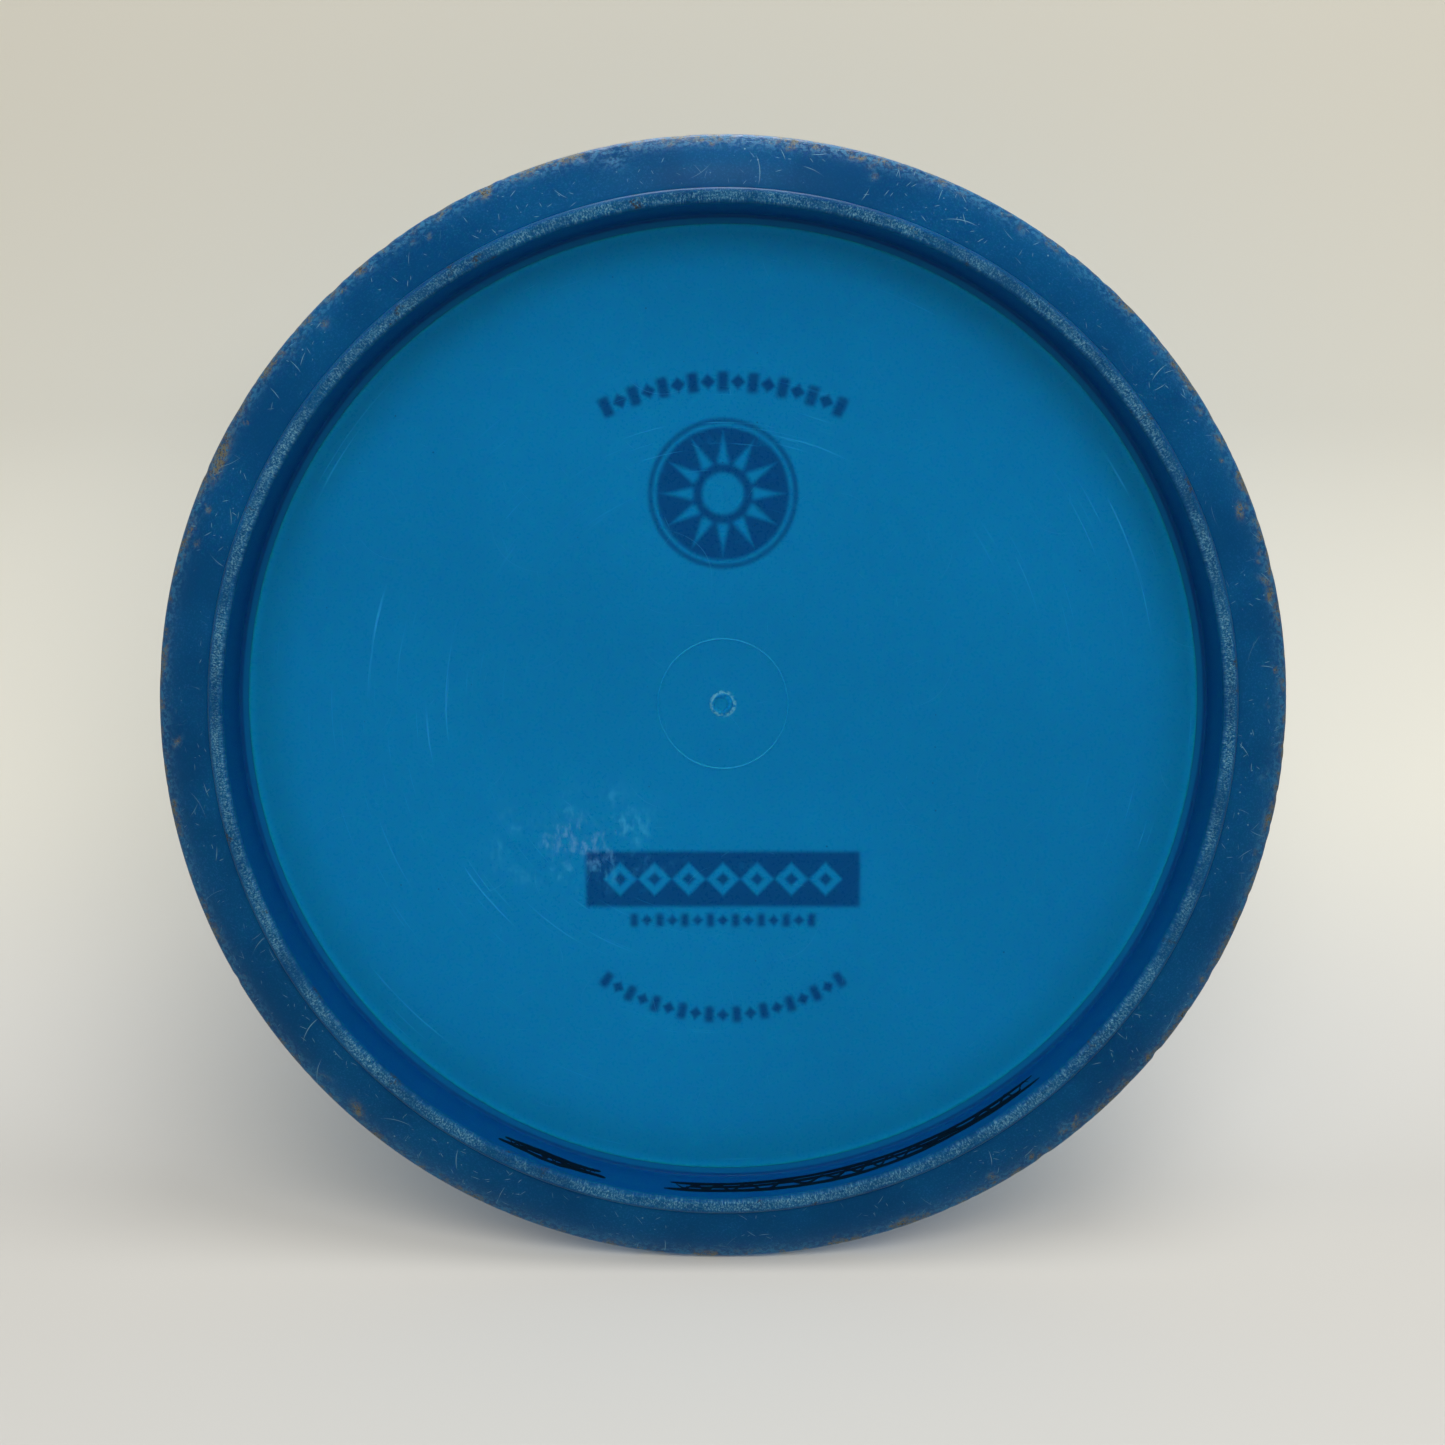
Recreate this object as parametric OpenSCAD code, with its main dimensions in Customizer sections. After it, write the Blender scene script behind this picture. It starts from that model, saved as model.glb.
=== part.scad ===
// Beaded mid-range flying disc, moulded in one shot, lying on its rim.
// The origin is the centre of the rim's resting plane, and +Z goes up through the top of the plate.
// The printed side is the top. +Y is the top of the print, seen from above.

/* [Disc] */
// Diameter across the nose
disc_d = 217; // [211:1:230]
// Height from the resting land to the crown of the plate
disc_h = 17.8; // [17.4:0.1:19]

/* [Rim] */
// Width from the nose to the inner wall's mouth
rim_w = 13.5; // [12.5:0.1:15]
// Depth of the hollow at the inner wall
rim_depth = 13.4; // [12.6:0.1:13.4]
// How much the inner wall leans in, from its mouth to the plate
wall_draft = 0.6; // [0.2:0.1:1]
// Fillet between the inner wall and the plate
fillet_r = 0.8; // [0.5:0.1:1]
// Height of the nose above the resting land
nose_h = 7.5; // [7.2:0.1:8]
// Radius of the nose
nose_r = 1.8; // [1.4:0.1:2]

/* [Bead] */
// Width of the bead
bead_w = 3; // [2.6:0.1:3.4]
// Height of the bead below the crease, which is the radius of both its edges
bead_h = 0.95; // [0.7:0.05:1.1]

/* [Flight plate] */
// Thickness of the plate
plate_t = 2.4; // [2:0.1:2.6]
// Rise of the plate from the inner wall to its crown
crown = 2; // [1:0.1:2.4]
// Radius where the plate passes into the rim
seam_r = 92.5; // [90:0.5:92.5]
// Outer diameter of the gate's ring at the centre of the underside
nub_d = 5.2; // [4:0.1:6]
// How far the gate's ring stands out
nub_h = 0.4; // [0.2:0.05:0.6]
// Diameter of the witness ring round the gate
witness_d = 25.8; // [22:0.2:30]
// Width of the witness ring, which stands out half as far
witness_w = 0.3; // [0.2:0.05:0.4]

/* [Hot stamp] */
// Thickness of the foil
foil_t = 0.08; // [0.06:0.01:0.12]
// Diameter of the round emblem
emblem_d = 29; // [24:0.5:32]
// Height of the emblem's centre above the disc's centre
emblem_y = 41; // [38:0.5:43]
// Number of rays in the emblem's sun
emblem_rays = 12; // [8:1:16]
// Radius of the upper arc of marks
upper_r = 54.6; // [52:0.2:56]
// Radius of the lower arc of marks
lower_r = 41.2; // [39:0.2:43]
// Length of the solid bar
bar_l = 54; // [46:1:60]
// Height of the solid bar
bar_h = 11; // [9:0.5:11.5]
// Distance of the bar's middle below the disc's centre
bar_y = 34.7; // [33:0.1:35.5]
// Number of diamonds cut out of the bar
bar_diamonds = 7; // [5:1:8]
// Distance of the line of small marks below the disc's centre
line_y = 42.9; // [42.6:0.1:44]

/* [Marker ink] */
// Thickness of the dried ink
ink_t = 0.06; // [0.04:0.01:0.1]
// Width of a marker stroke
ink_w = 1.5; // [0.9:0.1:1.6]

/* [Hidden] */
$fn = 180;
nose_out = disc_d / 2;
mouth_r = nose_out - rim_w;
wall_top_r = mouth_r - wall_draft;
// The nose's round runs from its lower tangent to its upper one
nose_low = -50;
nose_high = 40;
// The lower face leaves the crease gently: how far out and up its curve is pulled
lower_reach = [6, 1.95];
// Steps along each curve of the section
curve_steps = 9;
edge_steps = 5;
plate_steps = 12;
// Thickness of the gate's ring
gate_wall = 0.9;

// Each arc of marks: height of its centre, half angle, number of marks, width and height of a mark
upper_centre = 8;
upper_spread = 24.5;
upper_count = 17;
upper_mark = [2.1, 3.9];
lower_centre = 20.6;
lower_spread = 34;
lower_count = 19;
lower_mark = [1.7, 3.2];
// The line of small marks
line_count = 15;
line_pitch = 2.5;
line_mark = [1.5, 2.6];
// Sides of the diamonds in the bar, and of what stays solid inside them
diamond_out = 4.6;
diamond_in = 1.8;
// Width of the emblem's border and of the clear ring inside it
border_w = 0.8;
// Centre hole and rays, as shares of the emblem's radius
sun_hole = 0.28;
ray_from = 0.4;
ray_to = 0.76;
ray_half = 0.085;

// Each scribble: its angles, the heights of its two lines and the teeth between them
long_span = [229.5, 277];
long_lines = [4.6, 9.2];
long_teeth = 17;
short_span = [284, 297.5];
short_lines = [4.4, 7.6];
short_teeth = 5;
// How far the lines waver
sway = 0.5;

plastic = [0.0, 0.36, 0.62];
foil = [0.08, 0.09, 0.12];
ink = [0.03, 0.03, 0.05];

function mix(a, b, t) = a + (b - a) * t;
function on_circle(c, r, a) = [c.x + r * cos(a), c.y + r * sin(a)];
function arc(c, r, a0, a1, n) = [for (i = [0 : n]) on_circle(c, r, mix(a0, a1, i / n))];
// The inner points of a quadratic curve, without its two ends
function curve(p0, p1, p2, n) = [
    for (i = [1 : n - 1]) let (t = i / n) (1 - t) * (1 - t) * p0 + 2 * t * (1 - t) * p1 + t * t * p2
];

// Height of the plate's top and underside at radius r
function top_z(r) = disc_h - crown * pow(r / wall_top_r, 2);
function under_z(r) = top_z(r) - plate_t;
function top_slope(r) = -2 * crown * r / pow(wall_top_r, 2);
function plate_r(i) = seam_r * i / plate_steps;
function dome(lift) = [for (i = [0 : plate_steps]) [plate_r(i), top_z(plate_r(i)) + lift]];
function backwards(list) = [for (i = [len(list) - 1 : -1 : 0]) list[i]];

// Radius of the inner wall at height z
function wall_r(z) = mix(mouth_r, wall_top_r, (z - bead_h) / (rim_depth - bead_h));

nose_centre = [nose_out - nose_r, nose_h];
nose_start = on_circle(nose_centre, nose_r, nose_low);
nose_end = on_circle(nose_centre, nose_r, nose_high);
crease = [mouth_r + bead_w, bead_h];
seam_top = [seam_r, top_z(seam_r)];
// Where the nose's upper tangent meets the line that carries on from the plate's top
shoulder_reach = (seam_top.y - nose_end.y + top_slope(seam_r) * (nose_end.x - seam_r))
    / (cos(nose_high) + sin(nose_high) * top_slope(seam_r));
shoulder_pull = nose_end + shoulder_reach * [-sin(nose_high), cos(nose_high)];
fillet_centre = [wall_r(rim_depth - fillet_r) - fillet_r, under_z(wall_top_r) - fillet_r];

module rim() {
    color(plastic)
    rotate_extrude()
    polygon(concat(
        [[seam_r, under_z(seam_r)]],
        arc(fillet_centre, fillet_r, 90, 0, edge_steps),
        arc([mouth_r + bead_h, bead_h], bead_h, 180, 270, edge_steps),
        arc([mouth_r + bead_w - bead_h, bead_h], bead_h, 270, 360, edge_steps),
        curve(crease, crease + lower_reach, nose_start, curve_steps),
        arc(nose_centre, nose_r, nose_low, nose_high, curve_steps),
        curve(nose_end, shoulder_pull, seam_top, curve_steps),
        [seam_top]
    ));
}

// A thin ring that stands out of the underside, with its root buried in the plate
module underside_ring(r_out, w, h) {
    root = plate_t / 2;
    translate([0, 0, under_z(r_out) - h])
    difference() {
        cylinder(r = r_out, h = h + root);
        translate([0, 0, -1])
        cylinder(r = r_out - w, h = h + root + 2);
    }
}

module flight_plate() {
    color(plastic)
    union() {
        rotate_extrude()
        polygon(concat(dome(-plate_t), backwards(dome(0))));
        underside_ring(nub_d / 2, gate_wall, nub_h);
        underside_ring(witness_d / 2, witness_w, witness_w / 2);
    }
}

// Foil that follows the crown of the plate inside the flat outline given as its child
module foil_patch() {
    color(foil)
    intersection() {
        rotate_extrude()
        polygon(concat(dome(0), backwards(dome(foil_t))));
        linear_extrude(height = disc_h + 1)
        children();
    }
}

module diamond(size) {
    rotate(45)
    square(size, center = true);
}

// Bars and diamonds by turns along an arc about [0, centre_y]. spread is the half angle.
module arc_marks(centre_y, r, spread, count, bar) {
    for (i = [0 : count - 1])
    translate([0, centre_y])
    rotate(mix(-spread, spread, i / (count - 1)))
    translate([0, r])
    if (i % 2 == 0) square(bar, center = true);
    else diamond(bar.x);
}

module stamp_upper_arc() {
    foil_patch()
    arc_marks(upper_centre, upper_r, upper_spread, upper_count, upper_mark);
}

module stamp_lower_arc() {
    foil_patch()
    mirror([0, 1])
    arc_marks(lower_centre, lower_r, lower_spread, lower_count, lower_mark);
}

module stamp_line() {
    foil_patch()
    for (i = [0 : line_count - 1])
    translate([(i - (line_count - 1) / 2) * line_pitch, -line_y])
    if (i % 2 == 0) square(line_mark, center = true);
    else diamond(line_mark.x);
}

module stamp_bar() {
    pitch = bar_l / (bar_diamonds + 1);
    foil_patch()
    translate([0, -bar_y])
    difference() {
        square([bar_l, bar_h], center = true);
        for (i = [0 : bar_diamonds - 1])
        translate([(i - (bar_diamonds - 1) / 2) * pitch, 0])
        difference() {
            diamond(diamond_out);
            diamond(diamond_in);
        }
    }
}

module stamp_emblem() {
    r = emblem_d / 2;
    foil_patch()
    translate([0, emblem_y])
    difference() {
        circle(r = r);
        // Thin ring left clear inside the border
        difference() {
            circle(r = r - border_w);
            circle(r = r - 2 * border_w);
        }
        circle(r = r * sun_hole);
        for (i = [0 : emblem_rays - 1])
        rotate(i * 360 / emblem_rays)
        polygon(r * [[ray_from, -ray_half], [ray_to, 0], [ray_from, ray_half]]);
    }
}

// A ribbon of ink on the inner wall. height(t) is its middle's height for t from 0 to 1.
module ink_ribbon(from, to, steps, height) {
    points = [
        for (i = [0 : steps])
        let (t = i / steps, a = mix(from, to, t))
        for (corner = [[-1, 0], [1, 0], [1, 1], [-1, 1]])
        let (z = height(t) + corner[0] * ink_w / 2, r = wall_r(z) - corner[1] * ink_t)
        [r * cos(a), r * sin(a), z]
    ];
    sides = [
        for (i = [0 : steps - 1])
        for (j = [0 : 3])
        [i * 4 + j, i * 4 + (j + 1) % 4, i * 4 + 4 + (j + 1) % 4, i * 4 + 4 + j]
    ];
    last = steps * 4;
    polyhedron(points, concat([[3, 2, 1, 0]], sides, [[last, last + 1, last + 2, last + 3]]), convexity = 4);
}

// Two wavering lines with a zigzag between them, from one angle to another
module scribble(span, lines, teeth) {
    steps = round(span[1] - span[0]);
    middle = (lines[0] + lines[1]) / 2;
    reach = (lines[1] - lines[0]) / 2;
    color(ink)
    union() {
        ink_ribbon(span[0], span[1], steps, function(t) lines[0] + sway * sin(540 * t));
        ink_ribbon(span[0] + sway, span[1] - sway, steps, function(t) lines[1] - sway * sin(400 * t + 30));
        ink_ribbon(span[0] + 2 * sway, span[1] - 2 * sway, steps * 2,
            function(t) middle + reach * (4 * abs(t * teeth - floor(t * teeth) - 0.5) - 1));
    }
}

module ink_scribble_long() {
    scribble(long_span, long_lines, long_teeth);
}

module ink_scribble_short() {
    scribble(short_span, short_lines, short_teeth);
}

rim();
flight_plate();
stamp_upper_arc();
stamp_emblem();
stamp_bar();
stamp_line();
stamp_lower_arc();
ink_scribble_long();
ink_scribble_short();
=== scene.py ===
"""A used mid-range flying disc in translucent blue plastic, seen from its underside.

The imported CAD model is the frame: every size here comes from its boxes or from the section's named values.
Lengths are in metres, and the disc lies on its rim with +Z up through the printed top.
"""

import math
import random

import bpy
import numpy as np
from mathutils import Matrix, Vector


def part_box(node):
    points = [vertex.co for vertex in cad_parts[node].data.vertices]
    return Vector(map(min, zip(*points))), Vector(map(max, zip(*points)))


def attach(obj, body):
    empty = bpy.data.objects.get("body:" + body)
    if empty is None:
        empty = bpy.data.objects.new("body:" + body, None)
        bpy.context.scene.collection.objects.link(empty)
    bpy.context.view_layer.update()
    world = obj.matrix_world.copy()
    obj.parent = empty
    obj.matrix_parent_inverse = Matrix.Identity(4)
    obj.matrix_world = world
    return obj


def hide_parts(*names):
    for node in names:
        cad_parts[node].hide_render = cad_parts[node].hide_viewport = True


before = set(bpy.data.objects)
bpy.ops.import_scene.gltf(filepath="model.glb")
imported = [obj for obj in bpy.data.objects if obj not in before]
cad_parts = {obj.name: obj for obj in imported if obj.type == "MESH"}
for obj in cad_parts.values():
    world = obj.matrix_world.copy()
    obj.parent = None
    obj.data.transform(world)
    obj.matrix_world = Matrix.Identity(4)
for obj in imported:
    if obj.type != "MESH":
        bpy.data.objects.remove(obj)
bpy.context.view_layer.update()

MM = 0.001

# ---------------------------------------------------------------- sizes

NOSE_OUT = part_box("rim")[1].x
SEAM_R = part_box("flight_plate")[1].x
DISC_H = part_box("flight_plate")[1].z

RIM_W = 13.5 * MM
RIM_DEPTH = 13.4 * MM
WALL_DRAFT = 0.6 * MM
FILLET_R = 0.8 * MM
NOSE_H = 7.5 * MM
NOSE_R = 1.8 * MM
NOSE_LOW = -50
NOSE_TOP = 40
BEAD_W = 3.0 * MM
BEAD_H = 0.95 * MM
LOWER_REACH = np.array([6.0, 1.95]) * MM
PLATE_T = 2.4 * MM
CROWN = 2.0 * MM

MOUTH_R = NOSE_OUT - RIM_W
WALL_TOP_R = MOUTH_R - WALL_DRAFT
CREASE_R = MOUTH_R + BEAD_W

# The gate's sheared ring, a little off the centre, and the witness ring round it
GATE_R = 2.2 * MM
GATE_WALL = 0.9 * MM
GATE_H = 0.4 * MM
WITNESS_R = 12.75 * MM
WITNESS_W = 0.3 * MM
WITNESS_H = 0.15 * MM

# Radii that the materials use, in millimetres
NOSE_MM = NOSE_OUT / MM
SEAM_MM = SEAM_R / MM
MOUTH_MM = MOUTH_R / MM
CREASE_MM = CREASE_R / MM
BEAD_MIDDLE_MM = (MOUTH_MM + CREASE_MM) / 2

# How many steps round the disc each piece has
RIM_AROUND = 1500
PLATE_AROUND = 480

# The plate's print, in millimetres, as it is in the CAD model
UPPER_ARC = {"centre": 8, "radius": 54.6, "spread": 24.5, "count": 17, "mark": (2.1, 3.9)}
LOWER_ARC = {"centre": -20.6, "radius": 41.2, "spread": 34, "count": 19, "mark": (1.7, 3.2)}
LINE = {"y": -42.9, "pitch": 2.5, "count": 15, "mark": (1.5, 2.6)}
BAR = {"y": -34.7, "length": 54, "height": 11, "diamonds": 7, "outer": 4.6, "inner": 1.8}
EMBLEM = {"y": 41, "radius": 14.5, "border": 0.8, "hole": 0.28, "rays": 12, "ray": (0.4, 0.76, 0.085)}


def top_z(r):
    """Height of the plate's top at radius r."""
    return DISC_H - CROWN * (r / WALL_TOP_R) ** 2


def under_z(r):
    """Height of the plate's underside at radius r."""
    return top_z(r) - PLATE_T


def wall_r(z):
    """Radius of the inner wall at height z."""
    return MOUTH_R - WALL_DRAFT * (z - BEAD_H) / (RIM_DEPTH - BEAD_H)


# ---------------------------------------------------------------- outlines


def arc(centre, radius, start, end, steps):
    """Points on a circle from one angle to another in degrees, both ends included."""
    angles = np.radians(np.linspace(start, end, steps + 1))
    return [np.array(centre) + radius * np.array([math.cos(a), math.sin(a)]) for a in angles]


def line(start, end, steps):
    """The points between two ends, without the ends."""
    start, end = np.array(start), np.array(end)
    return [start + (end - start) * i / steps for i in range(1, steps)]


def curve(start, pull, end, steps):
    """The points of a quadratic curve, without its ends."""
    inner = np.linspace(0, 1, steps + 1)[1:-1]
    return [(1 - t) ** 2 * start + 2 * t * (1 - t) * pull + t * t * end for t in inner]


def rim_section():
    """The rim's outline from the seam's underside, round the bead and the nose, to the seam's top."""
    nose_centre = np.array([NOSE_OUT - NOSE_R, NOSE_H])
    nose = arc(nose_centre, NOSE_R, NOSE_LOW, NOSE_TOP, 13)
    way = (nose[-1] - nose_centre) / NOSE_R
    seam_top = np.array([SEAM_R, top_z(SEAM_R)])
    slope = -2 * CROWN * SEAM_R / WALL_TOP_R**2
    drop = seam_top - nose[-1]
    reach = (drop[1] - slope * drop[0]) / (way[0] + way[1] * slope)
    shoulder_pull = nose[-1] + reach * np.array([-way[1], way[0]])
    crease = np.array([CREASE_R, BEAD_H])
    fillet_low = RIM_DEPTH - FILLET_R
    fillet = arc((wall_r(fillet_low) - FILLET_R, under_z(WALL_TOP_R) - FILLET_R), FILLET_R, 90, 0, 5)
    bead_in = arc((MOUTH_R + BEAD_H, BEAD_H), BEAD_H, 180, 270, 6)
    bead_out = arc((CREASE_R - BEAD_H, BEAD_H), BEAD_H, 270, 352, 6)
    return np.array(
        [np.array([SEAM_R, under_z(SEAM_R)])]
        + fillet
        + line(fillet[-1], bead_in[0], 3)
        + bead_in
        + line(bead_in[-1], bead_out[0], 2)
        + bead_out
        + [crease]
        + curve(crease, crease + LOWER_REACH, nose[0], 16)
        + nose
        + curve(nose[-1], shoulder_pull, seam_top, 10)
        + [seam_top]
    )


def raised(r, middle, width, height):
    """The height of a rounded raised ring at radius r."""
    return height * np.clip(1 - ((r - middle) / (width / 2)) ** 2, 0, None) ** 0.5


def plate_section():
    """The plate's radii and heights, out along the underside and back over the top."""
    out = np.concatenate(
        [
            np.linspace(0.1, 3.5, 30) * MM,
            np.linspace(4, 12.4, 10) * MM,
            np.linspace(12.5, 13.0, 14) * MM,
            np.linspace(13.3, SEAM_R / MM, 70) * MM,
        ]
    )
    back = np.linspace(SEAM_R, 0.1 * MM, 50)
    under = np.stack([out, under_z(out)], axis=1)
    over = np.stack([back, top_z(back)], axis=1)
    return np.concatenate([under, over]), len(out)


# ---------------------------------------------------------------- meshes


def normals_of(section):
    """The outward normal at each point of a section that runs anticlockwise in (r, z)."""
    along = np.gradient(section, axis=0)
    outward = np.stack([along[:, 1], -along[:, 0]], axis=1)
    return outward / np.linalg.norm(outward, axis=1, keepdims=True)


def revolved(section, around, shift):
    """Points of a section turned round the axis, each moved along the section's normal by its shift."""
    angles = np.linspace(0, 2 * math.pi, around, endpoint=False)
    grid = section[None, :, :] + shift[:, :, None] * normals_of(section)[None, :, :]
    r, z = grid[:, :, 0], grid[:, :, 1]
    return np.stack([r * np.cos(angles)[:, None], r * np.sin(angles)[:, None], z], axis=2)


def grid_faces(around, across):
    """Quads that join a grid of points into a ring, with its last column open."""
    i, j = np.meshgrid(np.arange(around), np.arange(across - 1), indexing="ij")
    k = (i + 1) % around
    quads = np.stack([i * across + j, k * across + j, k * across + j + 1, i * across + j + 1], axis=2)
    return quads.reshape(-1, 4).tolist()


def mesh_object(name, points, faces, values=None, sharp=None):
    """A smooth mesh object. values are named numbers for each point, and edges bent past sharp stay sharp."""
    mesh = bpy.data.meshes.new(name)
    mesh.from_pydata(np.asarray(points).reshape(-1, 3).tolist(), [], faces)
    mesh.polygons.foreach_set("use_smooth", [True] * len(mesh.polygons))
    for key, numbers in (values or {}).items():
        mesh.attributes.new(key, "FLOAT", "POINT").data.foreach_set("value", numbers.ravel())
    if sharp is not None:
        mesh.set_sharp_from_angle(angle=math.radians(sharp))
    piece = bpy.data.objects.new(name, mesh)
    bpy.context.scene.collection.objects.link(piece)
    return piece


def make_rim():
    """The thick ring, with nicks worn into its nose and lower face."""
    section = rim_section()
    across = len(section)
    shift, dirt, scuff = rim_wear(section)
    points = revolved(section, RIM_AROUND, shift)
    faces = grid_faces(RIM_AROUND, across)
    for i in range(RIM_AROUND):
        k = (i + 1) % RIM_AROUND
        faces.append([i * across + across - 1, k * across + across - 1, k * across, i * across])
    return mesh_object("disc_rim", points, faces, {"dirt": dirt, "scuff": scuff}, sharp=60)


def make_plate():
    """The thin domed plate, with the gate's ring and the witness ring under it."""
    section, under = plate_section()
    across = len(section)
    shift = np.zeros((PLATE_AROUND, across))
    angle = np.linspace(0, 2 * math.pi, PLATE_AROUND, endpoint=False)[:, None]
    r = section[None, :under, 0]
    # The gate was broken off by hand, so its ring is uneven and 0.4 mm off the centre
    from_gate = np.hypot(r * np.cos(angle) - 0.4 * MM, r * np.sin(angle))
    uneven = 0.65 + 0.25 * np.sin(angle * 2 + 0.5) + 0.1 * np.sin(angle * 9)
    shift[:, :under] = raised(from_gate, GATE_R - GATE_WALL / 2, GATE_WALL, GATE_H) * uneven
    shift[:, :under] += raised(r, WITNESS_R, WITNESS_W, WITNESS_H)
    points = revolved(section, PLATE_AROUND, shift)
    faces = grid_faces(PLATE_AROUND, across)
    faces.append([i * across for i in reversed(range(PLATE_AROUND))])
    faces.append([i * across + across - 1 for i in range(PLATE_AROUND)])
    return mesh_object("disc_flight_plate", points, faces, sharp=60)


# ---------------------------------------------------------------- wear


def turned(angle, centre):
    """The angle from centre to angle, between -180 and 180 degrees."""
    return (angle - centre + 180) % 360 - 180


def rim_wear(section):
    """For each point of the rim: how far it is pushed out, how dirty and how scuffed it is."""
    chance = random.Random(11)
    along = np.concatenate([[0], np.cumsum(np.linalg.norm(np.diff(section, axis=0), axis=1))])
    nose_at = along[int(np.argmax(section[:, 0]))]
    shape = (RIM_AROUND, len(section))
    shift, dirt, scuff = (np.zeros(shape, np.float32) for _ in range(3))
    angles = np.arange(RIM_AROUND) * 360 / RIM_AROUND
    # The worst stretches of the edge: middle and half width in degrees, anticlockwise from +X
    stretches = ((42, 14), (183, 20), (237, 14), (100, 30))
    for n in range(560):
        if n % 3:
            angle = chance.gauss(*stretches[n % len(stretches)])
        else:
            angle = chance.uniform(0, 360)
        place = nose_at - abs(chance.gauss(0, 2.0)) * MM + 0.5 * MM
        length = 0.5 * MM * math.exp(chance.gauss(0.1, 0.55))
        width = length * chance.uniform(0.3, 0.9)
        lean = chance.uniform(-1.2, 1.2)
        depth = min(width, 0.9 * MM) * chance.uniform(0.05, 0.24)
        soil = chance.random() ** 1.3
        rows = np.abs(turned(angles, angle)) < 4
        x = (np.radians(turned(angles[rows], angle)) * NOSE_OUT)[:, None]
        y = (along - place)[None, :]
        u = (x * math.cos(lean) + y * math.sin(lean)) / length
        v = (y * math.cos(lean) - x * math.sin(lean)) / width
        spot = np.exp(-(u**2) - v**2)
        halo = np.exp(-(u**2 + v**2) / 3)
        shift[rows] += depth * (0.3 * (halo - spot) - spot)
        dirt[rows] += 1.8 * soil * spot
        scuff[rows] += 0.7 * halo
    shift[:, [0, -1]] = 0
    return np.clip(shift, -0.45 * MM, 0.08 * MM), np.clip(dirt, 0, 1), np.clip(scuff, 0, 1)


# ---------------------------------------------------------------- marker strokes


def stroke(span, height, width, lift, steps):
    """Points and faces of one marker stroke on the inner wall: a thin closed ribbon with tapered tips.

    span is its first and last angle in degrees, and height gives its middle's height for t from 0 to 1."""
    points = []
    for i in range(steps + 1):
        t = i / steps
        angle = math.radians(span[0] + (span[1] - span[0]) * t)
        taper = math.sqrt(max(0.05, 1 - (2 * t - 1) ** 12))
        half = width / 2 * taper * (1 + 0.12 * math.sin(31 * t + span[0]))
        for side, depth in ((-1, 0.0), (1, 0.0), (1, lift), (-1, lift)):
            z = height(t) + side * half
            r = wall_r(z) - depth
            points.append((r * math.cos(angle), r * math.sin(angle), z))
    faces = [[0, 1, 2, 3], [4 * steps + j for j in (3, 2, 1, 0)]]
    for i in range(steps):
        for j in range(4):
            k = (j + 1) % 4
            faces.append([4 * i + k, 4 * i + j, 4 * i + 4 + j, 4 * i + 4 + k])
    return points, faces


def scribble(name, span, low, high, teeth):
    """A run of handwriting struck out with a marker: two wavering lines and loops between them."""
    middle, reach = (low + high) / 2, (high - low) / 2
    width = 1.6 * MM

    def loops(t):
        swing = math.sin(2 * math.pi * teeth * t + 2.2 * math.sin(13 * t))
        return middle + reach * swing * (0.75 + 0.25 * math.sin(17 * t + 1))

    lines = (
        (0.0, lambda t: low + 0.4 * MM * math.sin(9.4 * t), 240),
        (0.7, lambda t: high - 0.5 * MM * math.sin(7 * t + 0.5), 240),
        (1.4, loops, 900),
        (2.6, lambda t: middle - reach * 0.4 * math.cos(5 * t), 240),
    )
    points, faces = [], []
    for n, (trim, height, steps) in enumerate(lines):
        lift = (0.04 + 0.012 * n) * MM
        more, sides = stroke((span[0] + trim, span[1] - trim), height, width * (1 - 0.1 * n), lift, steps)
        faces += [[k + len(points) for k in side] for side in sides]
        points += more
    return mesh_object(name, points, faces, sharp=30)


# ---------------------------------------------------------------- material nodes


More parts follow.
